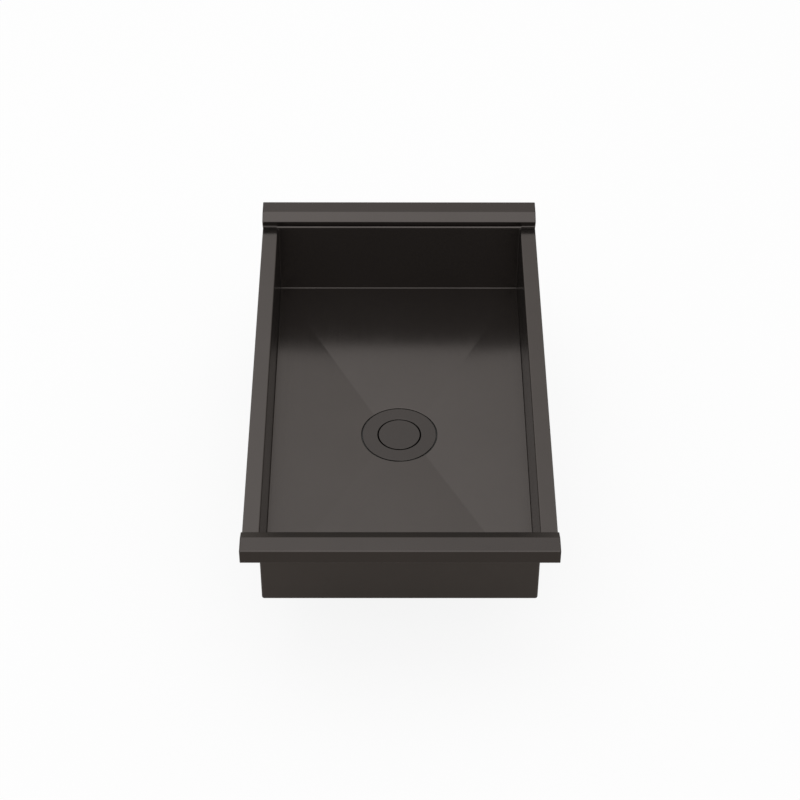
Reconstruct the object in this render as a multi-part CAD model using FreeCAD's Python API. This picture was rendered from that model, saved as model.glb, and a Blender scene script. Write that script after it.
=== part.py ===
import FreeCAD, Part
import math
import os

# Single-bowl kitchen sink with raised end rails and a flush basket waste.
# Millimetres, +Z up, +X to the right, +Y towards the far end.
# Origin: the middle of the bowl, in the plane of the side flanges' top faces.

Vector = FreeCAD.Vector
up = Vector(0, 0, 1)
across = Vector(1, 0, 0)
along = Vector(0, 1, 0)
centre = Vector(0, 0, 0)

# Bowl sheet
bowl_width = 385.4
bowl_length = 666.0
bowl_depth = 124.7
sheet = 1.5
wall_corner_radius = 2.0
floor_bend_radius = 1.5
floor_fall = 8.0
crease_aim_offset = 16.0
side_flange_width = 24.0
side_bend_radius = 2.0
end_step = 3.0
end_bend_radius = 3.0
corner_step_setback = 2.4
corner_step_bend_radius = 2.0
ledge_side_clearance = 0.3
ledge_front_clearance = 0.5
cut_overrun = 2.0
join_tolerance = 0.0001

# Raised rails on the end ledges, with heights above the ledge
rail_reach = 43.6
rail_nose_reach = 0.9
rail_nose_rise = 9.5
rail_bevel_run = 16.7
rail_crest_rise = 16.7
rail_outer_rise = 16.5
rail_skirt_drop = 7.0
rail_lip_width = 8.0
rail_foot_width = 10.0
rail_bend_radius = 1.8
rail_overhang = 0.7
cap_thickness = 1.2
cap_heel_reach = 3.0
cap_edge_radius = 1.0

# Sound-deadening pads
pad_thickness = 3.0
pad_side_margin = 24.0
pad_end_margin = 20.0
pad_waste_margin = 14.0
pad_corner_radius = 12.0
wall_pad_end_margin = 83.0
wall_pad_top_drop = 26.0
wall_pad_bottom_rise = 22.7

# Waste ring and cup
cup_mouth_radius = 33.1
cup_wall = 1.2
sink_hole_clearance = 10.7
ring_overlap = 11.0
ring_gap = 1.6
seat_edge_radius = 0.8
ring_thickness = 1.6
ring_edge_radius = 0.5
cup_mouth_edge_radius = 0.6
cup_throat_depth = 12.0
cup_taper = 5.5
cup_drain_hole_radius = 4.5
cup_drain_rim_margin = 10.0
cup_drain_hole_count = 8

# Seals of the waste
flange_seal_thickness = 0.8
flange_seal_rim_gap = 0.3
body_seal_thickness = 3.0
seal_hole_margin = 1.0
body_seal_rim_margin = 1.5

# Moulded waste body
body_flange_inset = 0.2
body_flange_thickness = 4.0
body_mouth_inset = 3.0
body_taper = 4.0
body_wall = 2.5
body_funnel_gap = 3.5
body_funnel_depth = 18.0
outlet_radius = 23.9
outlet_bore_radius = 20.5
outlet_length = 24.0
hub_radius = 9.0
hub_height = 14.0
hub_gap = 1.5
rib_count = 4
rib_thickness = 3.0
rib_height = 9.0
rib_top_drop = 2.0

# Clamping screw and nut
screw_radius = 3.0
screw_hole_clearance = 0.3
screw_head_wall = 2.6
screw_head_floor = 1.0
screw_socket_side_clearance = 0.1
screw_socket_end_clearance = 0.5
screw_tip_length = 2.5
nut_across_flats = 10.0
nut_height = 5.0
nut_thread_clearance = 0.05
nut_pocket_clearance = 0.1

# Lid
lid_gap = 1.8
lid_thickness = 1.5
lid_edge_radius = 0.4
lid_spigot_radius = 2.3
lid_spigot_flange_radius = 7.0
lid_spigot_flange_thickness = 1.5
lid_spigot_entry = 4.5
lid_spigot_clearance = 0.3
lid_spigot_end_clearance = 0.5

# Strainer basket
basket_gap = 2.3
basket_sheet = 0.8
basket_rim_width = 1.5
basket_depth = 34.0
basket_taper = 4.8
basket_hole_radius = 2.0
basket_row_count = 3
basket_holes_per_row = 16
basket_first_row_drop = 9.0
basket_last_row_rise = 8.0
basket_floor_ring_shares = (0.5, 0.8)
basket_floor_ring_counts = (8, 14)

# Basket stem, seal and clip
stem_radius = 3.5
stem_knob_overhang = 2.5
stem_knob_height = 6.0
stem_knob_drop = 12.0
stem_collar_overhang = 4.0
stem_collar_height = 1.0
stem_tip_entry = 3.0
stem_hole_clearance = 0.1
basket_seal_bore_clearance = 1.5
basket_seal_thickness = 4.0
basket_seal_gap = 0.3
retainer_overlap = 4.0
retainer_thickness = 1.8
retainer_gap = 1.4
clip_wire = 0.8
clip_tip_margin = 0.8

half_width = bowl_width / 2
half_length = bowl_length / 2
flange_half_width = half_width + side_flange_width
rail_half_width = flange_half_width + rail_overhang
rail_sheet_half_width = rail_half_width - cap_thickness
ledge_half_width = rail_sheet_half_width - ledge_side_clearance
sink_hole_radius = cup_mouth_radius + cup_wall + sink_hole_clearance
ring_radius = sink_hole_radius + ring_overlap
rebate_radius = ring_radius + ring_gap
floor_half_width = half_width - floor_bend_radius
floor_half_length = half_length - floor_bend_radius
ring_top = -bowl_depth - floor_fall * (1 - rebate_radius / floor_half_length)
seat_top = ring_top - ring_thickness - flange_seal_thickness
seat_bottom = seat_top - sheet
body_top = seat_bottom - body_seal_thickness
body_flange_radius = ring_radius - body_flange_inset


def rounded_edges(points, radii):
    """Straight edges round a closed chain of 2D points, with an arc of each corner's radius."""
    count = len(points)
    starts = []
    ends = []
    arcs = {}
    for i in range(count):
        corner = points[i]
        radius = radii[i]
        if radius == 0:
            starts.append(corner)
            ends.append(corner)
            continue
        back = points[i - 1].sub(corner).normalize()
        ahead = points[(i + 1) % count].sub(corner).normalize()
        half_angle = back.getAngle(ahead) / 2
        reach = radius / math.tan(half_angle)
        bisector = back.add(ahead).normalize()
        middle = corner.add(bisector.multiply(radius / math.sin(half_angle) - radius))
        first = corner.add(Vector(back).multiply(reach))
        last = corner.add(Vector(ahead).multiply(reach))
        arcs[i] = Part.Arc(first, middle, last).toShape()
        starts.append(first)
        ends.append(last)
    edges = []
    for i in range(count):
        if i in arcs:
            edges.append(arcs[i])
        ahead = starts[(i + 1) % count]
        if ends[i].distanceToPoint(ahead) > join_tolerance:
            edges.append(Part.makeLine(ends[i], ahead))
    return edges


def outline_face(points, radii):
    """Flat face inside a closed outline in the XY plane of its own 2D points."""
    return Part.Face(Part.Wire(rounded_edges(points, radii)))


def offset_right(points, distance):
    """The 2D points of an open path, moved to its right-hand side."""
    moved = []
    for i in range(len(points)):
        sides = []
        if i > 0:
            sides.append(points[i].sub(points[i - 1]).normalize())
        if i < len(points) - 1:
            sides.append(points[i + 1].sub(points[i]).normalize())
        normals = [Vector(side.y, -side.x, 0) for side in sides]
        total = normals[0].add(normals[-1])
        total.normalize()
        total.multiply(distance / total.dot(normals[0]))
        moved.append(points[i].add(total))
    return moved


def folded_face(path, bend, thickness):
    """Section of a folded sheet: its outer skin is the path, its metal is on the right."""
    inner = offset_right(path, thickness)
    inner.reverse()
    ends = len(path) - 2
    outer_radii = [0] + [bend] * ends + [0]
    inner_radii = [0] + [bend - thickness] * ends + [0]
    return outline_face(path + inner, outer_radii + inner_radii)


def stand_across(face, half_span):
    """Extrude a section drawn as (outward, height) along X, on the far end wall."""
    section = face.copy()
    section.rotate(centre, across, 90)
    section.rotate(centre, up, 90)
    section.translate(Vector(-half_span, half_length, 0))
    return section.extrude(Vector(2 * half_span, 0, 0))


def stand_along(face, half_span):
    """Extrude a section drawn as (outward, height) along Y, on the right-hand wall."""
    section = face.copy()
    section.rotate(centre, across, 90)
    section.translate(Vector(half_width, -half_span, 0))
    return section.extrude(Vector(0, 2 * half_span, 0))


def turned(points, radii=None):
    """Turn a closed (radius, height) outline about the drain's axis."""
    corner_radii = radii or [0] * len(points)
    face = outline_face(points, corner_radii)
    face.rotate(centre, across, 90)
    return face.revolve(centre, up, 360)


def disc(radius, bottom, height, x=0, y=0):
    return Part.makeCylinder(radius, height, Vector(x, y, bottom))


def ring(inner_radius, outer_radius, bottom, height):
    return disc(outer_radius, bottom, height).cut(disc(inner_radius, bottom, height))


def mirror_across(shape):
    """The same piece on the other side in X."""
    return shape.mirror(centre, across)


def mirror_along(shape):
    """The same piece on the near end."""
    return shape.mirror(centre, along)


def point(x, y):
    return Vector(x, y, 0)


def bowl_space(growth):
    """The bowl's hollow, grown on every side: a rounded tub, its creased floor and the ring's seat."""
    wide = half_width + growth
    long = half_length + growth
    floor_edge = -bowl_depth - growth
    tub = Part.makeBox(2 * wide, 2 * long, -floor_edge, Vector(-wide, -long, floor_edge))
    uprights = []
    bottoms = []
    for edge in tub.Edges:
        low = edge.BoundBox.ZMin
        high = edge.BoundBox.ZMax
        if high - low > bowl_depth / 2:
            uprights.append(edge)
    tub = tub.makeFillet(wall_corner_radius + growth, uprights)
    for edge in tub.Edges:
        if edge.BoundBox.ZMax < floor_edge + cut_overrun / 2:
            bottoms.append(edge)
    tub = tub.makeFillet(min(floor_bend_radius, wall_corner_radius) + growth, bottoms)
    crease_end = floor_edge - floor_fall
    corners = [
        Vector(-floor_half_width, -floor_half_length, floor_edge),
        Vector(floor_half_width, -floor_half_length, floor_edge),
        Vector(floor_half_width, floor_half_length, floor_edge),
        Vector(-floor_half_width, floor_half_length, floor_edge),
    ]
    left = Vector(-crease_aim_offset, 0, crease_end)
    right = Vector(crease_aim_offset, 0, crease_end)
    outlines = [
        corners,
        [corners[0], corners[1], right, left],
        [corners[1], corners[2], right],
        [corners[2], corners[3], left, right],
        [corners[3], corners[0], left],
    ]
    faces = [Part.Face(Part.makePolygon(outline + [outline[0]])) for outline in outlines]
    creased = Part.makeSolid(Part.makeShell(faces))
    seat = disc(rebate_radius + growth, seat_top - growth, floor_edge - seat_top + growth)
    return tub.fuse([creased, seat]).removeSplitter()


def bowl_shell():
    top = -side_bend_radius
    hollow = bowl_space(0)
    reach = rebate_radius + join_tolerance
    rim = []
    for edge in hollow.Edges:
        box = edge.BoundBox
        if max(abs(box.XMin), abs(box.XMax), abs(box.YMin), abs(box.YMax)) < reach and box.ZMin > seat_top:
            rim.append(edge)
    hollow = hollow.makeFillet(seat_edge_radius, rim)
    tub = bowl_space(sheet).cut(hollow)
    above = Part.makeBox(
        4 * half_width, 4 * half_length, bowl_depth, Vector(-2 * half_width, -2 * half_length, top)
    )
    tub = tub.cut(above)
    tub = tub.cut(disc(sink_hole_radius, seat_bottom - cut_overrun, sheet + 2 * cut_overrun))
    side_path = [point(0, top), point(0, 0), point(side_flange_width, 0)]
    side = stand_along(folded_face(side_path, side_bend_radius, sheet), half_length + corner_step_setback)
    ledge_reach = rail_reach - sheet - ledge_front_clearance
    end_path = [point(0, top), point(0, end_step), point(ledge_reach, end_step)]
    end_half_span = half_width + side_bend_radius
    end = stand_across(folded_face(end_path, end_bend_radius, sheet), end_half_span)
    corner_path = [
        point(corner_step_setback, -sheet),
        point(corner_step_setback, end_step),
        point(ledge_reach, end_step),
    ]
    corner_span = ledge_half_width - end_half_span
    corner = stand_across(folded_face(corner_path, corner_step_bend_radius, sheet), corner_span / 2)
    corner.translate(Vector(end_half_span + corner_span / 2, 0, 0))
    ledge = end.fuse([corner, mirror_across(corner)])
    return tub.fuse([side, mirror_across(side), ledge, mirror_along(ledge)]).removeSplitter()


def rail_path():
    """The rail's outer skin as (outward, height), from its foot round to its lip."""
    foot_reach = end_bend_radius
    nose = point(rail_nose_reach, end_step + rail_nose_rise)
    crest = point(rail_nose_reach + rail_bevel_run, end_step + rail_crest_rise)
    shoulder = point(rail_reach, end_step + rail_outer_rise)
    hem = point(rail_reach, end_step - rail_skirt_drop)
    lip = point(rail_reach - rail_lip_width, end_step - rail_skirt_drop)
    foot = point(foot_reach, end_step)
    foot_end = point(foot_reach + rail_foot_width, end_step)
    return [foot_end, foot, nose, crest, shoulder, hem, lip]


def rail():
    return stand_across(folded_face(rail_path(), rail_bend_radius, sheet), rail_sheet_half_width)


def rail_cap():
    """The right-hand end plate of the far rail."""
    foot, nose, crest, shoulder, hem = rail_path()[1:6]
    heel = point(foot.x + cap_heel_reach, hem.y)
    outline = [foot, nose, crest, shoulder, hem, heel]
    radii = [0, rail_bend_radius, rail_bend_radius, rail_bend_radius, rail_bend_radius, 0]
    plate = stand_across(outline_face(outline, radii), cap_thickness / 2)
    plate.translate(Vector(rail_sheet_half_width + cap_thickness / 2, 0, 0))
    rim = [edge for edge in plate.Edges if edge.BoundBox.XMin > rail_half_width - cap_thickness / 2]
    return plate.makeFillet(cap_edge_radius, rim)


def rounded_slab(width, length, height, corner):
    slab = Part.makeBox(width, length, height, Vector(-width / 2, -length / 2, 0))
    uprights = []
    for edge in slab.Edges:
        if edge.BoundBox.XLength + edge.BoundBox.YLength < sheet / 2:
            uprights.append(edge)
    return slab.makeFillet(corner, uprights)


def floor_pad():
    """Pad under the far half of the floor, which follows its facets."""
    near = body_flange_radius + pad_waste_margin
    far = half_length - pad_end_margin
    width = bowl_width - 2 * pad_side_margin
    skin = bowl_space(sheet + pad_thickness).cut(bowl_space(sheet))
    depth = floor_fall + 2 * (sheet + pad_thickness)
    blank = rounded_slab(width, far - near, depth, pad_corner_radius)
    blank.translate(Vector(0, (near + far) / 2, -bowl_depth - depth))
    return skin.common(blank)


def wall_pad():
    """Pad on the outside of the right-hand wall."""
    length = bowl_length - 2 * wall_pad_end_margin
    height = bowl_depth - wall_pad_top_drop - wall_pad_bottom_rise
    pad = rounded_slab(height, length, pad_thickness, pad_corner_radius)
    pad.rotate(centre, along, 90)
    pad.translate(Vector(half_width + sheet, 0, -wall_pad_top_drop - height / 2))
    return pad


lid_bottom = ring_top - lid_thickness
basket_rim_radius = cup_mouth_radius - basket_gap
basket_top_radius = basket_rim_radius - basket_rim_width
basket_floor_radius = basket_top_radius - basket_taper
basket_floor_top = lid_bottom - basket_depth
basket_floor_bottom = basket_floor_top - basket_sheet
seal_bottom = basket_floor_bottom - basket_seal_thickness
seal_bore_radius = stem_radius + basket_seal_bore_clearance
retainer_bottom = seal_bottom - retainer_thickness
screw_head_top = retainer_bottom - retainer_gap
stem_tip = screw_head_top - stem_tip_entry
screw_socket_floor = stem_tip - screw_socket_end_clearance
screw_socket_radius = stem_radius + clip_wire + screw_socket_side_clearance
cup_floor = screw_socket_floor - screw_head_floor
cup_underside = cup_floor - cup_wall
cup_floor_radius = cup_mouth_radius - cup_taper
cup_throat_bottom = ring_top - cup_throat_depth


def waste_cup():
    outline = [
        point(ring_radius, ring_top),
        point(cup_mouth_radius, ring_top),
        point(cup_mouth_radius, cup_throat_bottom),
        point(cup_floor_radius, cup_floor),
        point(screw_radius + screw_hole_clearance, cup_floor),
        point(screw_radius + screw_hole_clearance, cup_underside),
        point(cup_floor_radius + cup_wall, cup_underside),
        point(cup_mouth_radius + cup_wall, cup_throat_bottom),
        point(cup_mouth_radius + cup_wall, ring_top - ring_thickness),
        point(ring_radius, ring_top - ring_thickness),
    ]
    radii = [ring_edge_radius, cup_mouth_edge_radius] + [0] * (len(outline) - 2)
    cup = turned(outline, radii)
    circle_radius = cup_floor_radius - cup_drain_rim_margin
    length = cup_wall + 2 * cut_overrun
    holes = []
    for i in range(cup_drain_hole_count):
        angle = 2 * math.pi * i / cup_drain_hole_count
        x = circle_radius * math.cos(angle)
        y = circle_radius * math.sin(angle)
        holes.append(disc(cup_drain_hole_radius, cup_underside - cut_overrun, length, x, y))
    return cup.cut(holes)


def flange_seal():
    inner = sink_hole_radius + seal_hole_margin
    outer = rebate_radius - flange_seal_rim_gap
    return ring(inner, outer, seat_top, flange_seal_thickness)


def body_seal():
    inner = sink_hole_radius + seal_hole_margin
    outer = body_flange_radius - body_seal_rim_margin
    return ring(inner, outer, body_top, body_seal_thickness)


body_mouth_radius = sink_hole_radius - body_mouth_inset
body_floor_radius = body_mouth_radius - body_taper
hub_top = cup_underside - hub_gap
hub_bottom = hub_top - hub_height
funnel_top = cup_underside - body_funnel_gap
funnel_bottom = funnel_top - body_funnel_depth
outlet_bottom = funnel_bottom - outlet_length


def nut_prism(across_flats, bottom, height):
    corner = across_flats / 2 / math.cos(math.pi / 6)
    corners = []
    for i in range(7):
        angle = math.pi / 3 * i
        corners.append(Vector(corner * math.cos(angle), corner * math.sin(angle), bottom))
    return Part.Face(Part.makePolygon(corners)).extrude(Vector(0, 0, height))


def waste_body():
    outside = turned([
        point(0, body_top),
        point(body_flange_radius, body_top),
        point(body_flange_radius, body_top - body_flange_thickness),
        point(body_mouth_radius + body_wall, body_top - body_flange_thickness),
        point(body_floor_radius + body_wall, funnel_top),
        point(outlet_radius, funnel_bottom),
        point(outlet_radius, outlet_bottom),
        point(0, outlet_bottom),
    ])
    inside = turned([
        point(0, body_top),
        point(body_mouth_radius, body_top),
        point(body_floor_radius, funnel_top),
        point(outlet_bore_radius, funnel_bottom),
        point(outlet_bore_radius, outlet_bottom),
        point(0, outlet_bottom),
    ])
    webs = [disc(hub_radius, hub_bottom, hub_height)]
    for i in range(rib_count):
        web = Part.makeBox(
            body_mouth_radius,
            rib_thickness,
            rib_height,
            Vector(0, -rib_thickness / 2, hub_top - rib_top_drop - rib_height),
        )
        web.rotate(centre, up, 360 * i / rib_count + 45)
        webs.append(web)
    spider = webs[0].fuse(webs[1:]).common(outside)
    body = outside.cut(inside).fuse(spider).removeSplitter()
    pocket = nut_prism(nut_across_flats + 2 * nut_pocket_clearance, hub_bottom, nut_height)
    bore = disc(screw_radius + screw_hole_clearance, hub_bottom, hub_height)
    return body.cut([pocket, bore])


def clamp_nut():
    nut = nut_prism(nut_across_flats, hub_bottom, nut_height)
    return nut.cut(disc(screw_radius + nut_thread_clearance, hub_bottom, nut_height))


def clamp_screw():
    tip = hub_bottom - screw_tip_length
    head_radius = screw_socket_radius + screw_head_wall
    return turned([
        point(0, tip),
        point(screw_radius, tip),
        point(screw_radius, cup_floor),
        point(head_radius, cup_floor),
        point(head_radius, screw_head_top),
        point(screw_socket_radius, screw_head_top),
        point(screw_socket_radius, screw_socket_floor),
        point(0, screw_socket_floor),
    ])


knob_top = ring_top - stem_knob_drop
spigot_tip = knob_top - lid_spigot_entry


def drain_lid():
    lid_radius = cup_mouth_radius - lid_gap
    outline = [
        point(0, ring_top),
        point(0, lid_bottom),
        point(lid_radius, lid_bottom),
        point(lid_radius, ring_top),
    ]
    return turned(outline, [0, 0, 0, lid_edge_radius])


def lid_spigot():
    return turned([
        point(0, lid_bottom),
        point(0, spigot_tip),
        point(lid_spigot_radius, spigot_tip),
        point(lid_spigot_radius, lid_bottom - lid_spigot_flange_thickness),
        point(lid_spigot_flange_radius, lid_bottom - lid_spigot_flange_thickness),
        point(lid_spigot_flange_radius, lid_bottom),
    ])


def strainer_basket():
    stem_hole = stem_radius + stem_hole_clearance
    basket = turned([
        point(basket_rim_radius, lid_bottom),
        point(basket_top_radius - basket_sheet, lid_bottom),
        point(basket_floor_radius - basket_sheet, basket_floor_top),
        point(stem_hole, basket_floor_top),
        point(stem_hole, basket_floor_bottom),
        point(basket_floor_radius, basket_floor_bottom),
        point(basket_top_radius, lid_bottom - basket_sheet),
        point(basket_rim_radius, lid_bottom - basket_sheet),
    ])
    holes = []
    first_row = lid_bottom - basket_first_row_drop
    last_row = basket_floor_top + basket_last_row_rise
    for row in range(basket_row_count):
        height = first_row - row * (first_row - last_row) / (basket_row_count - 1)
        for i in range(basket_holes_per_row):
            drill = Part.makeCylinder(basket_hole_radius, basket_rim_radius, Vector(0, 0, height), across)
            drill.rotate(centre, up, 360 * (i + row / 2) / basket_holes_per_row)
            holes.append(drill)
    length = basket_sheet + 2 * cut_overrun
    for share, count in zip(basket_floor_ring_shares, basket_floor_ring_counts):
        radius = basket_floor_radius * share
        for i in range(count):
            angle = 2 * math.pi * i / count
            x = radius * math.cos(angle)
            y = radius * math.sin(angle)
            holes.append(disc(basket_hole_radius, basket_floor_bottom - cut_overrun, length, x, y))
    return basket.cut(holes)


def cup_radius_at(height):
    """Inside radius of the cup's taper at a height."""
    share = (cup_throat_bottom - height) / (cup_throat_bottom - cup_floor)
    return cup_mouth_radius - cup_taper * share


def basket_seal():
    return turned([
        point(seal_bore_radius, basket_floor_bottom),
        point(seal_bore_radius, seal_bottom),
        point(cup_radius_at(seal_bottom) - basket_seal_gap, seal_bottom),
        point(cup_radius_at(basket_floor_bottom) - basket_seal_gap, basket_floor_bottom),
    ])


def basket_stem():
    bore = lid_spigot_radius + lid_spigot_clearance
    bore_floor = spigot_tip - lid_spigot_end_clearance
    collar_radius = stem_radius + stem_collar_overhang
    collar_top = basket_floor_top + stem_collar_height
    knob_radius = stem_radius + stem_knob_overhang
    return turned([
        point(0, bore_floor),
        point(0, stem_tip),
        point(stem_radius, stem_tip),
        point(stem_radius, basket_floor_top),
        point(collar_radius, basket_floor_top),
        point(collar_radius, collar_top),
        point(stem_radius, collar_top),
        point(stem_radius, knob_top - stem_knob_height),
        point(knob_radius, knob_top - stem_knob_height),
        point(knob_radius, knob_top),
        point(bore, knob_top),
        point(bore, bore_floor),
    ])


def seal_retainer():
    return ring(stem_radius, seal_bore_radius + retainer_overlap, retainer_bottom, retainer_thickness)


def stem_clip():
    """Split spring ring round the stem's tip."""
    bottom = stem_tip + clip_tip_margin
    band = ring(stem_radius, stem_radius + clip_wire, bottom, clip_wire)
    gap = Part.makeBox(2 * stem_radius, clip_wire, clip_wire, Vector(0, -clip_wire / 2, bottom))
    return band.cut(gap)


far_rail = rail()
far_cap = rail_cap()
far_pad = floor_pad()
right_pad = wall_pad()

pieces = {
    "bowl_shell": bowl_shell(),
    "front_rail": mirror_along(far_rail),
    "rear_rail": far_rail,
    "front_rail_left_cap": mirror_along(mirror_across(far_cap)),
    "front_rail_right_cap": mirror_along(far_cap),
    "rear_rail_left_cap": mirror_across(far_cap),
    "rear_rail_right_cap": far_cap,
    "floor_pad_front": mirror_along(far_pad),
    "floor_pad_rear": far_pad,
    "wall_pad_left": mirror_across(right_pad),
    "wall_pad_right": right_pad,
    "waste_cup": waste_cup(),
    "flange_seal": flange_seal(),
    "body_seal": body_seal(),
    "waste_body": waste_body(),
    "clamp_screw": clamp_screw(),
    "clamp_nut": clamp_nut(),
    "drain_lid": drain_lid(),
    "lid_spigot": lid_spigot(),
    "strainer_basket": strainer_basket(),
    "basket_seal": basket_seal(),
    "basket_stem": basket_stem(),
    "seal_retainer": seal_retainer(),
    "stem_clip": stem_clip(),
}

os.makedirs("parts", exist_ok=True)
for name, shape in pieces.items():
    box = shape.BoundBox
    print(
        name,
        len(shape.Solids),
        shape.isValid(),
        round(shape.Volume),
        [round(value, 1) for value in (box.XMin, box.YMin, box.ZMin, box.XMax, box.YMax, box.ZMax)],
    )
    shape.exportStep("parts/" + name + ".step")
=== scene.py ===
import math

import bmesh
import bpy
from mathutils import Matrix, Vector


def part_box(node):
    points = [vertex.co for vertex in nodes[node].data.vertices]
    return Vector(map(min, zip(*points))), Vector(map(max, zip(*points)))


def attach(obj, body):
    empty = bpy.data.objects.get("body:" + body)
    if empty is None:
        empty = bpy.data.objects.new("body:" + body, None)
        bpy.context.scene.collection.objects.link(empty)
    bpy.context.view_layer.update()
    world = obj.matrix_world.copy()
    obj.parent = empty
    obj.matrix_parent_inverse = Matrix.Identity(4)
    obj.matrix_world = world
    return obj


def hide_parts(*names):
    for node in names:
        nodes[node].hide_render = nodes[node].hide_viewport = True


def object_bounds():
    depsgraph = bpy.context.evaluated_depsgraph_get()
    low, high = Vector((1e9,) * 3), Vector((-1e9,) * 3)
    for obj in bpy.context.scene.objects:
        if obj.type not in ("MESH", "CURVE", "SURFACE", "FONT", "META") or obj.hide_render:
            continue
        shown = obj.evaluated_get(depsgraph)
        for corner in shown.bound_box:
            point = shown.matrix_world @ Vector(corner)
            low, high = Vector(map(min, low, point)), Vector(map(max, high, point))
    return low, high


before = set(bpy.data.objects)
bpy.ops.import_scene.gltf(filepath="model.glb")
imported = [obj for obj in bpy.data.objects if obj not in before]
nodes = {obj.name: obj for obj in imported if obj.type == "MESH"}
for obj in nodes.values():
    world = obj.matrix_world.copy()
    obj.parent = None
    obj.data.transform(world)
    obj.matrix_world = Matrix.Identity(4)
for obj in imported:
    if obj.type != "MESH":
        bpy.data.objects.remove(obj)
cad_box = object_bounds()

collection = bpy.context.scene.collection

# The bowl: one stainless sheet 1.5 mm thick, cut and folded into a tub with a creased floor, two side
# flanges and two end ledges, welded at the corners and ground flush. It is brushed, then coated a warm
# dark gunmetal that mirrors its surroundings softly.
gunmetal = (0.09, 0.0805, 0.0755, 1.0)
gunmetal_rubbed = (0.15, 0.14, 0.135, 1.0)
bowl_roughness = 0.2
coat_metallic = 0.9
darker_coat_share = 0.95
grain_across_per_metre = 2600.0
grain_along_per_metre = 14.0
broad_grain_share = 0.1
grain_height = 0.00002
grain_strength = 0.35
grain_spread = 0.03
grain_sum_range = (1.1, 1.9)
end_wall_facing = 0.7
sheet_edge_reach = 0.0005
edge_samples = 4
edge_bend_range = (0.99, 0.8)
rubbed_patches_per_metre = 60.0
least_rubbing = 0.25
mottle_per_metre = 9.0
quick_mottle_ratio = 7.0
slow_mottle_detail = 2.0
slow_mottle_share = 0.7
quick_mottle_share = 0.3
cloud_detail = 3.0
cloud_roughness = 0.6
cloud_range = (0.35, 0.65)


def add(tree, kind, inputs=(), **settings):
    """A node with its settings, and its inputs linked or set by name or number."""
    made = tree.nodes.new(kind)
    for name, value in settings.items():
        setattr(made, name, value)
    for key, source in dict(inputs).items():
        if isinstance(source, bpy.types.NodeSocket):
            tree.links.new(source, made.inputs[key])
        else:
            made.inputs[key].default_value = source
    return made


def maths(tree, operation, first, second=0.0):
    """The result of one sum on two values."""
    return add(tree, "ShaderNodeMath", {0: first, 1: second}, operation=operation).outputs[0]


def ranged(tree, value, low, high, to_low, to_high):
    """A value moved from one range to another and held at both ends."""
    return add(tree, "ShaderNodeMapRange", {0: value, 1: low, 2: high, 3: to_low, 4: to_high}).outputs[0]


def blended(tree, factor, first, second):
    """A colour between two, which a Mix node takes at its sockets 6 and 7."""
    inputs = {"Factor": factor, 6: first, 7: second}
    return add(tree, "ShaderNodeMix", inputs, data_type="RGBA").outputs[2]


def object_place(tree):
    """A point's place in the part's own frame, in metres."""
    return add(tree, "ShaderNodeTexCoord").outputs["Object"]


def cloud(tree, place, scale, detail=cloud_detail):
    """Soft noise between 0 and 1, which mostly stays within cloud_range."""
    inputs = {"Vector": place, "Scale": scale, "Detail": detail, "Roughness": cloud_roughness}
    return add(tree, "ShaderNodeTexNoise", inputs).outputs[0]


def start_group(name, inputs, outputs):
    """A shader node group with named sockets: its tree, what it is given and where its results go."""
    tree = bpy.data.node_groups.new(name, "ShaderNodeTree")
    for label, value in inputs:
        socket = tree.interface.new_socket(label, in_out="INPUT", socket_type="NodeSocketFloat")
        socket.default_value = value
    for label in outputs:
        tree.interface.new_socket(label, in_out="OUTPUT", socket_type="NodeSocketFloat")
    given = tree.nodes.new("NodeGroupInput").outputs
    results = tree.nodes.new("NodeGroupOutput").inputs
    return tree, given, results


def make_straight_grain():
    """Brushed streaks along Y, or along X where Turn is 1, in a fine and a broad layer."""
    inputs = [("Turn", 0.0), ("Across", grain_across_per_metre), ("Along", grain_along_per_metre)]
    tree, given, results = start_group("straight_grain", inputs, ["Fine", "Broad"])
    x, y, z = add(tree, "ShaderNodeSeparateXYZ", {0: object_place(tree)}).outputs
    swap = maths(tree, "MULTIPLY", maths(tree, "SUBTRACT", y, x), given["Turn"])
    crosswise = maths(tree, "ADD", x, swap)
    lengthwise = maths(tree, "SUBTRACT", y, swap)
    for label, share in (("Fine", 1.0), ("Broad", broad_grain_share)):
        across = maths(tree, "MULTIPLY", given["Across"], share)
        along = maths(tree, "MULTIPLY", given["Along"], share)
        stretched = {
            0: maths(tree, "MULTIPLY", crosswise, across),
            1: maths(tree, "MULTIPLY", lengthwise, along),
            2: maths(tree, "MULTIPLY", z, across),
        }
        place = add(tree, "ShaderNodeCombineXYZ", stretched).outputs[0]
        tree.links.new(cloud(tree, place, 1.0), results[label])
    return tree


def make_rubbed_edges():
    """A mask of the sharp edges, where handling rubs the surface, broken up by noise."""
    tree, given, results = start_group("rubbed_edges", [("Reach", sheet_edge_reach)], ["Edge"])
    softened = add(tree, "ShaderNodeBevel", {"Radius": given["Reach"]}, samples=edge_samples).outputs[0]
    facing = add(tree, "ShaderNodeNewGeometry").outputs["Normal"]
    compared = add(tree, "ShaderNodeVectorMath", {0: softened, 1: facing}, operation="DOT_PRODUCT")
    bend = compared.outputs["Value"]
    noise = cloud(tree, object_place(tree), rubbed_patches_per_metre)
    patches = ranged(tree, noise, *cloud_range, least_rubbing, 1.0)
    edge = maths(tree, "MULTIPLY", ranged(tree, bend, *edge_bend_range, 0.0, 1.0), patches)
    tree.links.new(edge, results["Edge"])
    return tree


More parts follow.
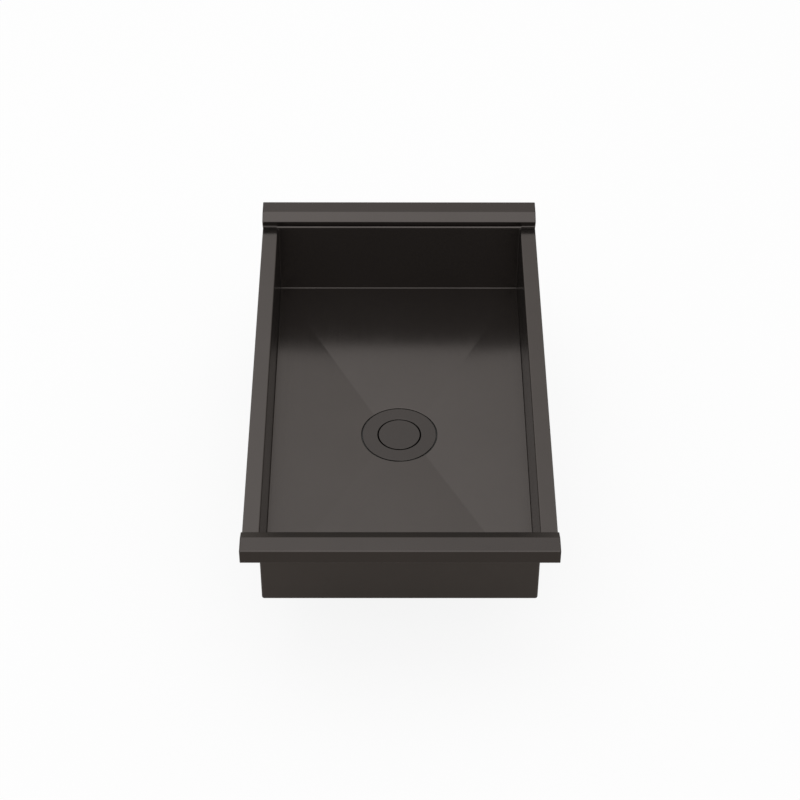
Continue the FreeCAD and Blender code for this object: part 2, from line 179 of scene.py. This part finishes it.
def make_coat_mottle():
    """Slow unevenness of a coating or a moulding, in two sizes."""
    tree, given, results = start_group("coat_mottle", [("Scale", mottle_per_metre)], ["Mottle"])
    place = object_place(tree)
    slow = cloud(tree, place, given["Scale"], slow_mottle_detail)
    quick = cloud(tree, place, maths(tree, "MULTIPLY", given["Scale"], quick_mottle_ratio))
    slow_part = maths(tree, "MULTIPLY", slow, slow_mottle_share)
    quick_part = maths(tree, "MULTIPLY", quick, quick_mottle_share)
    tree.links.new(maths(tree, "ADD", slow_part, quick_part), results["Mottle"])
    return tree


straight_grain = make_straight_grain()
rubbed_edges = make_rubbed_edges()
coat_mottle = make_coat_mottle()


def place_group(tree, group, **inputs):
    """A node group placed in a tree with its own values: what it puts out."""
    return add(tree, "ShaderNodeGroup", inputs, node_tree=group).outputs


def start_material(name):
    """A new material, its tree and its shader."""
    material = bpy.data.materials.new(name)
    material.use_nodes = True
    return material, material.node_tree, material.node_tree.nodes["Principled BSDF"]


def finish_metal(tree, shader, colour, rubbed, roughness, grain, metallic=1.0, reach=sheet_edge_reach):
    """Wires a brushed metal: grain in roughness and height, mottle in colour, rubbed edges lighter."""
    mottle = place_group(tree, coat_mottle)["Mottle"]
    edge = place_group(tree, rubbed_edges, Reach=reach)["Edge"]
    darker = tuple(darker_coat_share * part for part in colour[:3]) + (1.0,)
    coated = blended(tree, ranged(tree, mottle, *cloud_range, 0.0, 1.0), darker, colour)
    tree.links.new(blended(tree, edge, coated, rubbed), shader.inputs["Base Color"])
    uneven = maths(tree, "ADD", maths(tree, "ADD", grain["Fine"], grain["Broad"]), mottle)
    smoothest = roughness - grain_spread
    roughest = roughness + grain_spread
    varied = ranged(tree, uneven, *grain_sum_range, smoothest, roughest)
    tree.links.new(varied, shader.inputs["Roughness"])
    shader.inputs["Metallic"].default_value = metallic
    rounded = add(tree, "ShaderNodeBevel", {"Radius": reach}, samples=edge_samples).outputs[0]
    bump = {
        "Height": grain["Fine"],
        "Distance": grain_height,
        "Strength": grain_strength,
        "Normal": rounded,
    }
    tree.links.new(add(tree, "ShaderNodeBump", bump).outputs[0], shader.inputs["Normal"])


def make_bowl_finish():
    """Gunmetal coat whose brushing runs along the sheet, and across it on the two end walls."""
    material, tree, shader = start_material("gunmetal_bowl")
    facing = add(tree, "ShaderNodeNewGeometry").outputs["Normal"]
    toward_end = add(tree, "ShaderNodeSeparateXYZ", {0: facing}).outputs[1]
    turn = maths(tree, "GREATER_THAN", maths(tree, "ABSOLUTE", toward_end), end_wall_facing)
    grain = place_group(tree, straight_grain, Turn=turn)
    finish_metal(tree, shader, gunmetal, gunmetal_rubbed, bowl_roughness, grain, coat_metallic)
    return material


def dress(name, material):
    """Gives a CAD node its finish."""
    slots = nodes[name].data.materials
    slots.clear()
    slots.append(material)


dress("bowl_shell", make_bowl_finish())


# The end rails: the same sheet folded into a hollow section with a bevel towards the bowl, a nearly
# level top and an upright skirt, closed by a welded plate at each end. They are brushed from end to
# end, and their coat is a little darker than the bowl's.
rail_coat = (0.0785, 0.0702, 0.0663, 1.0)
rail_rubbed = (0.13, 0.122, 0.117, 1.0)
rail_roughness = 0.2


def make_rail_finish():
    """Gunmetal coat whose brushing runs along the rail."""
    material, tree, shader = start_material("gunmetal_rail")
    grain = place_group(tree, straight_grain, Turn=1.0)
    finish_metal(tree, shader, rail_coat, rail_rubbed, rail_roughness, grain)
    return material


rail_finish = make_rail_finish()
for rail in ("front_rail", "rear_rail"):
    dress(rail, rail_finish)
    dress(rail + "_left_cap", rail_finish)
    dress(rail + "_right_cap", rail_finish)


# The sound-deadening pads: dense black rubber sheets glued under the floor and on the long walls.
# Their faces have a fine moulded stipple and a dull bloom.
pad_colour = (0.032, 0.032, 0.033, 1.0)
pad_bloom = (0.06, 0.06, 0.06, 1.0)
pad_mottle_per_metre = 14.0
pad_bloom_range = (0.4, 0.7)
most_pad_bloom = 0.7
mottle_range = (0.3, 0.7)
pad_roughness_range = (0.72, 0.9)
pad_stipple_per_metre = 900.0
pad_stipple_height = 0.00025
pad_stipple_strength = 0.6


def make_pad_finish():
    """Dull stippled rubber with a pale bloom in soft patches."""
    material, tree, shader = start_material("pad_rubber")
    place = object_place(tree)
    mottle = place_group(tree, coat_mottle, Scale=pad_mottle_per_metre)["Mottle"]
    bloom = ranged(tree, mottle, *pad_bloom_range, 0.0, most_pad_bloom)
    tree.links.new(blended(tree, bloom, pad_colour, pad_bloom), shader.inputs["Base Color"])
    varied = ranged(tree, mottle, *mottle_range, *pad_roughness_range)
    tree.links.new(varied, shader.inputs["Roughness"])
    stipple = {"Vector": place, "Scale": pad_stipple_per_metre}
    dimples = add(tree, "ShaderNodeTexVoronoi", stipple).outputs[0]
    bump = {"Height": dimples, "Distance": pad_stipple_height, "Strength": pad_stipple_strength}
    tree.links.new(add(tree, "ShaderNodeBump", bump).outputs[0], shader.inputs["Normal"])
    return material


pad_finish = make_pad_finish()
for pad in ("floor_pad_front", "floor_pad_rear", "wall_pad_left", "wall_pad_right"):
    dress(pad, pad_finish)


# The waste's ring, cup and lid: pressed from stainless sheet and turned smooth, so that their marks
# run round the drain's axis, then coated like the bowl, a shade darker.
waste_coat = (0.067, 0.06, 0.0565, 1.0)
waste_rubbed = (0.125, 0.117, 0.112, 1.0)
waste_roughness = 0.2
waste_edge_reach = 0.0003
rings_per_metre = 3200.0
broad_ring_share = 0.12
ring_variation = 2.5


def make_turned_grain():
    """Fine rings round the Z axis, as a lathe or a polishing wheel leaves them."""
    inputs = [("Rings", rings_per_metre), ("Round", ring_variation)]
    tree, given, results = start_group("turned_grain", inputs, ["Fine", "Broad"])
    x, y, z = add(tree, "ShaderNodeSeparateXYZ", {0: object_place(tree)}).outputs
    flat = add(tree, "ShaderNodeCombineXYZ", {0: x, 1: y}).outputs[0]
    radius = add(tree, "ShaderNodeVectorMath", {0: flat}, operation="LENGTH").outputs["Value"]
    around = add(tree, "ShaderNodeVectorMath", {0: flat}, operation="NORMALIZE").outputs[0]
    cosine, sine = add(tree, "ShaderNodeSeparateXYZ", {0: around}).outputs[:2]
    for label, share in (("Fine", 1.0), ("Broad", broad_ring_share)):
        rings = maths(tree, "MULTIPLY", given["Rings"], share)
        wound = {
            0: maths(tree, "MULTIPLY", cosine, given["Round"]),
            1: maths(tree, "MULTIPLY", sine, given["Round"]),
            2: maths(tree, "MULTIPLY", maths(tree, "ADD", radius, z), rings),
        }
        place = add(tree, "ShaderNodeCombineXYZ", wound).outputs[0]
        tree.links.new(cloud(tree, place, 1.0), results[label])
    return tree


turned_grain = make_turned_grain()


def make_turned_finish(name, colour, rubbed, roughness, metallic=1.0):
    """A metal with rings round the drain's axis."""
    material, tree, shader = start_material(name)
    grain = place_group(tree, turned_grain)
    finish_metal(tree, shader, colour, rubbed, roughness, grain, metallic, waste_edge_reach)
    return material


waste_finish = make_turned_finish(
    "gunmetal_waste", waste_coat, waste_rubbed, waste_roughness, coat_metallic,
)
dress("waste_cup", waste_finish)
dress("drain_lid", waste_finish)


# The seals: a thin flat seal under the ring, a thick one under the floor, and the basket's own seal,
# all of soft black rubber with a slight, uneven sheen, partly from roughness and partly painted into
# the colour as greyer patches that also stand for wear.
rubber_colour = (0.016, 0.016, 0.016, 1.0)
# The greyer colour of the rubber's patches: wear and a painted sheen.
rubber_wear_and_sheen = (0.03, 0.03, 0.029, 1.0)
rubber_mottle_per_metre = 60.0
rubber_wear_and_sheen_range = (0.4, 0.7)
rubber_roughness_range = (0.5, 0.68)
rubber_bump_height = 0.0002
rubber_bump_strength = 0.3


def make_rubber_finish():
    """Black rubber, greyer in small patches for wear and a painted sheen, and smoother or rougher there.
    """
    material, tree, shader = start_material("seal_rubber")
    mottle = place_group(tree, coat_mottle, Scale=rubber_mottle_per_metre)["Mottle"]
    # Mottle spreads the greyer patches of wear and painted sheen.
    wear_and_sheen = ranged(tree, mottle, *rubber_wear_and_sheen_range, 0.0, 1.0)
    tree.links.new(blended(tree, wear_and_sheen, rubber_colour, rubber_wear_and_sheen), shader.inputs["Base Color"])
    varied = ranged(tree, mottle, *mottle_range, *rubber_roughness_range)
    tree.links.new(varied, shader.inputs["Roughness"])
    bump = {"Height": mottle, "Distance": rubber_bump_height, "Strength": rubber_bump_strength}
    tree.links.new(add(tree, "ShaderNodeBump", bump).outputs[0], shader.inputs["Normal"])
    return material


rubber_finish = make_rubber_finish()
for seal in ("flange_seal", "body_seal", "basket_seal"):
    dress(seal, rubber_finish)


# The waste body: a black polypropylene funnel with a hub and four webs inside. Its outlet carries a
# pipe thread, 11 turns to the inch, and gussets stiffen the flange that presses on the body seal. The
# lid's spigot and the washer under the basket's seal are moulded from the same plastic.
plastic_colour = (0.03, 0.03, 0.033, 1.0)
plastic_scuffed = (0.065, 0.065, 0.068, 1.0)
plastic_mottle_per_metre = 30.0
plastic_scuffing = 0.7
plastic_roughness_range = (0.4, 0.56)
plastic_grain_per_metre = 1500.0
plastic_grain_height = 0.0001
plastic_grain_strength = 0.3
moulding_edge_reach = 0.0006
merging_distance = 0.00001
sharp_angle = math.radians(32.0)
body_low, body_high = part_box("waste_body")
body_rim_radius = body_high.x
outlet_length = 0.024
outlet_wall_middle = 0.0222
thread_crest_radius = 0.0239
thread_pitch = 0.0254 / 11
thread_depth = 0.00148
thread_core_radius = thread_crest_radius - thread_depth
thread_root_half_share = 0.46
thread_crest_half_share = 0.08
thread_buried_share = 0.3
thread_turns = 8.5
thread_steps_per_turn = 72
thread_lead_in = 0.0016
thread_run_out_turns = 0.5
thread_tip_share = 0.02
flange_thickness = 0.004
gusset_count = 12
gusset_thickness = 0.0022
gusset_drop = 0.016
gusset_rim_margin = 0.003
gusset_lip = 0.0015
gusset_root_radius = 0.0423


def make_plastic_finish():
    """Finely grained moulded plastic, scuffed paler at its edges."""
    material, tree, shader = start_material("moulded_plastic")
    mottle = place_group(tree, coat_mottle, Scale=plastic_mottle_per_metre)["Mottle"]
    edge = place_group(tree, rubbed_edges, Reach=moulding_edge_reach)["Edge"]
    scuffs = maths(tree, "MULTIPLY", edge, plastic_scuffing)
    tree.links.new(blended(tree, scuffs, plastic_colour, plastic_scuffed), shader.inputs["Base Color"])
    varied = ranged(tree, mottle, *mottle_range, *plastic_roughness_range)
    tree.links.new(varied, shader.inputs["Roughness"])
    grain = cloud(tree, object_place(tree), plastic_grain_per_metre)
    bump = {"Height": grain, "Distance": plastic_grain_height, "Strength": plastic_grain_strength}
    tree.links.new(add(tree, "ShaderNodeBump", bump).outputs[0], shader.inputs["Normal"])
    return material


plastic_finish = make_plastic_finish()
dress("seal_retainer", plastic_finish)
dress("lid_spigot", plastic_finish)


def make_body_moulding():
    """The body's own shape with its outlet slimmed to the thread's core at the mouth, so it tapers."""
    moulding = bmesh.new()
    moulding.from_mesh(nodes["waste_body"].data)
    bmesh.ops.remove_doubles(moulding, verts=moulding.verts, dist=merging_distance)
    outlet_top = body_low.z + outlet_length
    for vertex in moulding.verts:
        radius = vertex.co.xy.length
        if vertex.co.z < outlet_top - thread_lead_in and radius > outlet_wall_middle:
            vertex.co.xy *= thread_core_radius / radius
    mesh = bpy.data.meshes.new("waste_body_moulding")
    moulding.to_mesh(mesh)
    moulding.free()
    if "custom_normal" in mesh.attributes:
        mesh.attributes.remove(mesh.attributes["custom_normal"])
    mesh.materials.clear()
    mesh.materials.append(plastic_finish)
    mesh.shade_smooth()
    mesh.set_sharp_from_angle(angle=sharp_angle)
    piece = bpy.data.objects.new("waste_body_moulding", mesh)
    collection.objects.link(piece)
    return piece


def start_shape(name, sizes):
    """A geometry tree with a named input for each size, and those inputs."""
    tree = bpy.data.node_groups.new(name, "GeometryNodeTree")
    for label, kind in sizes:
        tree.interface.new_socket(label, in_out="INPUT", socket_type=kind)
    tree.interface.new_socket("Geometry", in_out="OUTPUT", socket_type="NodeSocketGeometry")
    return tree, tree.nodes.new("NodeGroupInput").outputs


def close_shape(tree, geometry, material):
    """Ends a tree with real geometry that carries its finish."""
    real = add(tree, "GeometryNodeRealizeInstances", {0: geometry}).outputs[0]
    finished = add(tree, "GeometryNodeSetMaterial", {"Geometry": real, "Material": material}).outputs[0]
    add(tree, "NodeGroupOutput", {0: finished})


def grow(name, tree, sizes):
    """A piece of plain mesh, made by a geometry tree from the sizes given."""
    holder = bpy.data.objects.new(name + "_shape", bpy.data.meshes.new(name + "_shape"))
    collection.objects.link(holder)
    modifier = holder.modifiers.new(name, "NODES")
    modifier.node_group = tree
    for item in tree.interface.items_tree:
        if item.in_out == "INPUT":
            modifier[item.identifier] = sizes[item.name]
    shaped = holder.evaluated_get(bpy.context.evaluated_depsgraph_get())
    mesh = bpy.data.meshes.new_from_object(shaped)
    bpy.data.objects.remove(holder)
    piece = bpy.data.objects.new(name, mesh)
    collection.objects.link(piece)
    return piece


def swept(tree, path, corners):
    """A closed bar: an outline through four corners carried along a path."""
    places = [add(tree, "ShaderNodeCombineXYZ", {0: x, 1: y}).outputs[0] for x, y in corners]
    points = {f"Point {number}": place for number, place in enumerate(places, start=1)}
    outline = add(tree, "GeometryNodeCurvePrimitiveQuadrilateral", points, mode="POINTS").outputs[0]
    upright = add(tree, "GeometryNodeSetCurveNormal", {0: path}, mode="Z_UP").outputs[0]
    bar = {"Curve": upright, "Profile Curve": outline, "Fill Caps": True}
    return add(tree, "GeometryNodeCurveToMesh", bar).outputs[0]


def make_thread_shape():
    """One ridge wound round the outlet, fading at both ends, with its crest turned inwards."""
    tree, given = start_shape(
        "outlet_thread",
        [
            ("Core Radius", "NodeSocketFloat"),
            ("Depth", "NodeSocketFloat"),
            ("Pitch", "NodeSocketFloat"),
            ("Turns", "NodeSocketFloat"),
            ("Steps per Turn", "NodeSocketInt"),
            ("Run-out Turns", "NodeSocketFloat"),
            ("Start Height", "NodeSocketFloat"),
        ],
    )
    winding = {
        "Resolution": given["Steps per Turn"],
        "Rotations": given["Turns"],
        "Start Radius": given["Core Radius"],
        "End Radius": given["Core Radius"],
        "Height": maths(tree, "MULTIPLY", given["Pitch"], given["Turns"]),
    }
    spiral = add(tree, "GeometryNodeCurveSpiral", winding).outputs[0]
    way = add(tree, "GeometryNodeSplineParameter").outputs["Factor"]
    nearer_end = maths(tree, "MINIMUM", way, maths(tree, "SUBTRACT", 1.0, way))
    turns_from_end = maths(tree, "MULTIPLY", nearer_end, given["Turns"])
    run_out = maths(tree, "DIVIDE", turns_from_end, given["Run-out Turns"])
    fade = ranged(tree, run_out, 0.0, 1.0, thread_tip_share, 1.0)
    faded = add(tree, "GeometryNodeSetCurveRadius", {"Curve": spiral, "Radius": fade}).outputs[0]
    root = maths(tree, "MULTIPLY", given["Pitch"], thread_root_half_share)
    crest = maths(tree, "MULTIPLY", given["Pitch"], thread_crest_half_share)
    under_root = maths(tree, "MULTIPLY", given["Depth"], -thread_buried_share)
    ridge = swept(tree, faded, [
        (under_root, maths(tree, "MULTIPLY", root, -1.0)),
        (given["Depth"], maths(tree, "MULTIPLY", crest, -1.0)),
        (given["Depth"], crest),
        (under_root, root),
    ])
    lift = add(tree, "ShaderNodeCombineXYZ", {2: given["Start Height"]}).outputs[0]
    raised = add(tree, "GeometryNodeSetPosition", {"Geometry": ridge, "Offset": lift}).outputs[0]
    close_shape(tree, raised, plastic_finish)
    return tree


def make_gusset_shape():
    """Upright plates that stand round the funnel, under the flange."""
    tree, given = start_shape(
        "body_gussets",
        [
            ("Count", "NodeSocketInt"),
            ("Thickness", "NodeSocketFloat"),
            ("Root Radius", "NodeSocketFloat"),
            ("Tip Radius", "NodeSocketFloat"),
            ("Top", "NodeSocketFloat"),
            ("Lip", "NodeSocketFloat"),
            ("Drop", "NodeSocketFloat"),
        ],
    )
    half = maths(tree, "MULTIPLY", given["Thickness"], 0.5)
    start = add(tree, "ShaderNodeCombineXYZ", {1: maths(tree, "MULTIPLY", half, -1.0)}).outputs[0]
    end = add(tree, "ShaderNodeCombineXYZ", {1: half}).outputs[0]
    through = add(tree, "GeometryNodeCurvePrimitiveLine", {"Start": start, "End": end}).outputs[0]
    below = maths(tree, "MULTIPLY", given["Top"], -1.0)
    plate = swept(tree, through, [
        (given["Root Radius"], below),
        (given["Tip Radius"], below),
        (given["Tip Radius"], maths(tree, "ADD", below, given["Lip"])),
        (given["Root Radius"], maths(tree, "ADD", below, given["Drop"])),
    ])
    ring_points = add(tree, "GeometryNodePoints", {"Count": given["Count"]}).outputs[0]
    number = add(tree, "GeometryNodeInputIndex").outputs[0]
    step = maths(tree, "DIVIDE", 2 * math.pi, given["Count"])
    angle = maths(tree, "MULTIPLY", maths(tree, "ADD", number, 0.5), step)
    around = add(tree, "ShaderNodeCombineXYZ", {2: angle}).outputs[0]
    standing = {"Points": ring_points, "Instance": plate, "Rotation": around}
    close_shape(tree, add(tree, "GeometryNodeInstanceOnPoints", standing).outputs[0], plastic_finish)
    return tree


body_moulding = make_body_moulding()
outlet_thread = grow("outlet_thread", make_thread_shape(), {
    "Core Radius": thread_core_radius,
    "Depth": thread_depth,
    "Pitch": thread_pitch,
    "Turns": thread_turns,
    "Steps per Turn": thread_steps_per_turn,
    "Run-out Turns": thread_run_out_turns,
    "Start Height": body_low.z + thread_lead_in,
})
body_gussets = grow("body_gussets", make_gusset_shape(), {
    "Count": gusset_count,
    "Thickness": gusset_thickness,
    "Root Radius": gusset_root_radius,
    "Tip Radius": body_rim_radius - gusset_rim_margin,
    "Top": body_high.z - flange_thickness,
    "Lip": gusset_lip,
    "Drop": gusset_drop,
})
for piece in (body_moulding, outlet_thread, body_gussets):
    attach(piece, "sink")
    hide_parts("waste_body")


# The basket, its stem, the spring clip and the clamping screw: plain bright stainless steel, pressed
# or turned, with polishing rings and rubbed rims.
bright_steel = (0.56, 0.55, 0.53, 1.0)
bright_rubbed = (0.72, 0.71, 0.69, 1.0)
bright_roughness = 0.24

bright_finish = make_turned_finish("bright_steel", bright_steel, bright_rubbed, bright_roughness)
for part in ("strainer_basket", "basket_stem", "stem_clip", "clamp_screw"):
    dress(part, bright_finish)


# The clamping nut: a plain hexagon of machined brass in the body's hub, dulled by water and rubbed
# bright at its corners.
brass_dulled = (0.42, 0.29, 0.12, 1.0)
brass_rubbed = (0.6, 0.43, 0.18, 1.0)
brass_roughness = 0.34

dress("clamp_nut", make_turned_finish("nut_brass", brass_dulled, brass_rubbed, brass_roughness))


# The studio: a pale floor under the waste's outlet, an even pale surround that is dimmer near the
# horizon where metal mirrors it, and one wide soft lamp overhead.
floor_size = 14.0
floor_seen_colour = (0.9, 0.9, 0.9, 1.0)
floor_mirrored_colour = (0.42, 0.386, 0.352, 1.0)
floor_whitening_seen = 0.88
floor_whitening_mirrored = 0.1
white = (1.0, 1.0, 1.0, 1.0)
dim_light = (1.0, 0.93, 0.86, 1.0)
dim_light_range = (0.4, 1.0)
even_light = 0.85
far_side_levels = (
    (0.0, 0.28), (0.26, 0.38), (0.5, 0.6), (0.62, 0.8), (0.66, 0.93), (0.7, 1.0), (1.0, 1.5),
)
near_side_levels = ((0.0, 0.5), (0.34, 0.8), (0.66, 1.2), (0.87, 1.35), (1.0, 1.5))
brightest_level = 1.5
near_to_far_reach = 0.3
left_to_right_levels = (1.2, 0.8)
left_to_right_reach = 0.15
lamp_length = 2.4
lamp_width = 1.8
lamp_energy = 14.0
lamp_place = (-0.4, 0.3, 2.3)


def make_floor_finish():
    """A pale matt floor, lifted to white for the camera so that only the object's shadow shades it."""
    material = bpy.data.materials.new("studio_floor")
    material.use_nodes = True
    tree = material.node_tree
    tree.nodes.clear()
    path = add(tree, "ShaderNodeLightPath").outputs
    colour = blended(tree, path["Is Camera Ray"], floor_mirrored_colour, floor_seen_colour)
    matt = add(tree, "ShaderNodeBsdfDiffuse", {"Color": colour}).outputs[0]
    glow = add(tree, "ShaderNodeEmission", {"Color": white, "Strength": 1.0}).outputs[0]
    seen = maths(tree, "MULTIPLY", path["Is Camera Ray"], floor_whitening_seen)
    mirror = maths(tree, "MAXIMUM", path["Is Glossy Ray"], path["Is Transmission Ray"])
    mirrored = maths(tree, "MULTIPLY", mirror, floor_whitening_mirrored)
    share = maths(tree, "ADD", seen, mirrored)
    mixed = add(tree, "ShaderNodeMixShader", {0: share, 1: matt, 2: glow}).outputs[0]
    add(tree, "ShaderNodeOutputMaterial", {"Surface": mixed})
    return material


floor_level = cad_box[0].z
half_floor = floor_size / 2
floor_signs = ((-1, -1), (1, -1), (1, 1), (-1, 1))
floor_corners = [(half_floor * x, half_floor * y, floor_level) for x, y in floor_signs]
floor_mesh = bpy.data.meshes.new("studio_floor")
floor_mesh.from_pydata(floor_corners, [], [(0, 1, 2, 3)])
floor_mesh.materials.append(make_floor_finish())
floor = bpy.data.objects.new("studio_floor", floor_mesh)
collection.objects.link(floor)


def level_by_height(tree, height, levels):
    """The surround's brightness at a height, read from a list of heights and levels."""
    ramp = add(tree, "ShaderNodeValToRGB", {0: height})
    stops = ramp.color_ramp.elements
    for number, (stop, level) in enumerate(levels):
        if number < len(stops):
            element = stops[number]
            element.position = stop
        else:
            element = stops.new(stop)
        share = level / brightest_level
        element.color = (share, share, share, 1.0)
    return maths(tree, "MULTIPLY", ramp.outputs[0], brightest_level)


def make_surround():
    """White to the camera, even to matt surfaces, and dimmer near the horizon where metal mirrors it."""
    world = bpy.data.worlds.new("studio_surround")
    world.use_nodes = True
    tree = world.node_tree
    tree.nodes.clear()
    direction = add(tree, "ShaderNodeTexCoord").outputs["Generated"]
    x, y, z = add(tree, "ShaderNodeSeparateXYZ", {0: direction}).outputs
    far_side = level_by_height(tree, z, far_side_levels)
    sideways = ranged(tree, x, -left_to_right_reach, left_to_right_reach, *left_to_right_levels)
    far_side = maths(tree, "MULTIPLY", far_side, sideways)
    near_side = level_by_height(tree, z, near_side_levels)
    farther = ranged(tree, y, -near_to_far_reach, near_to_far_reach, 0.0, 1.0)
    lift = maths(tree, "MULTIPLY", maths(tree, "SUBTRACT", far_side, near_side), farther)
    level = maths(tree, "ADD", near_side, lift)
    tint = blended(tree, ranged(tree, level, *dim_light_range, 0.0, 1.0), dim_light, white)
    mirrored = add(tree, "ShaderNodeBackground", {"Color": tint, "Strength": level}).outputs[0]
    even = add(tree, "ShaderNodeBackground", {"Color": white, "Strength": even_light}).outputs[0]
    seen = add(tree, "ShaderNodeBackground", {"Color": white, "Strength": 1.0}).outputs[0]
    path = add(tree, "ShaderNodeLightPath").outputs
    mirror = maths(tree, "MAXIMUM", path["Is Glossy Ray"], path["Is Transmission Ray"])
    lit = add(tree, "ShaderNodeMixShader", {0: mirror, 1: even, 2: mirrored}).outputs[0]
    final = add(tree, "ShaderNodeMixShader", {0: path["Is Camera Ray"], 1: lit, 2: seen}).outputs[0]
    add(tree, "ShaderNodeOutputWorld", {"Surface": final})
    return world


bpy.context.scene.world = make_surround()
bpy.context.scene.view_settings.view_transform = "Standard"

lamp_data = bpy.data.lights.new("overhead_softbox", "AREA")
lamp_data.shape = "RECTANGLE"
lamp_data.size = lamp_length
lamp_data.size_y = lamp_width
lamp_data.energy = lamp_energy
lamp = bpy.data.objects.new("overhead_softbox", lamp_data)
lamp.location = lamp_place
lamp.visible_glossy = False
collection.objects.link(lamp)


# The camera: about 3.1 m away and 44 degrees above the horizon, square to the near rail, with a long
# lens, as solved from the photograph's edges.
camera_place = Vector((-0.0108, -2.3192, 2.1677))
camera_pitch = math.radians(43.83)
camera_yaw = math.radians(0.289)
camera_roll = math.radians(0.224)
sensor_width = 36.0
focal_length = 96.48
nearest_seen = 0.05
farthest_seen = 50.0

forward = Vector((
    math.sin(camera_yaw) * math.cos(camera_pitch),
    math.cos(camera_yaw) * math.cos(camera_pitch),
    -math.sin(camera_pitch),
))
level_right = Vector((math.cos(camera_yaw), -math.sin(camera_yaw), 0.0))
level_up = level_right.cross(forward)
right = level_right * math.cos(camera_roll) + level_up * math.sin(camera_roll)
upward = level_up * math.cos(camera_roll) - level_right * math.sin(camera_roll)
turn = Matrix((right, upward, -forward)).transposed().to_4x4()

camera_data = bpy.data.cameras.new("camera")
camera_data.sensor_width = sensor_width
camera_data.lens = focal_length
camera_data.clip_start = nearest_seen
camera_data.clip_end = farthest_seen
camera = bpy.data.objects.new("camera", camera_data)
camera.matrix_world = Matrix.Translation(camera_place) @ turn
collection.objects.link(camera)
bpy.context.scene.camera = camera
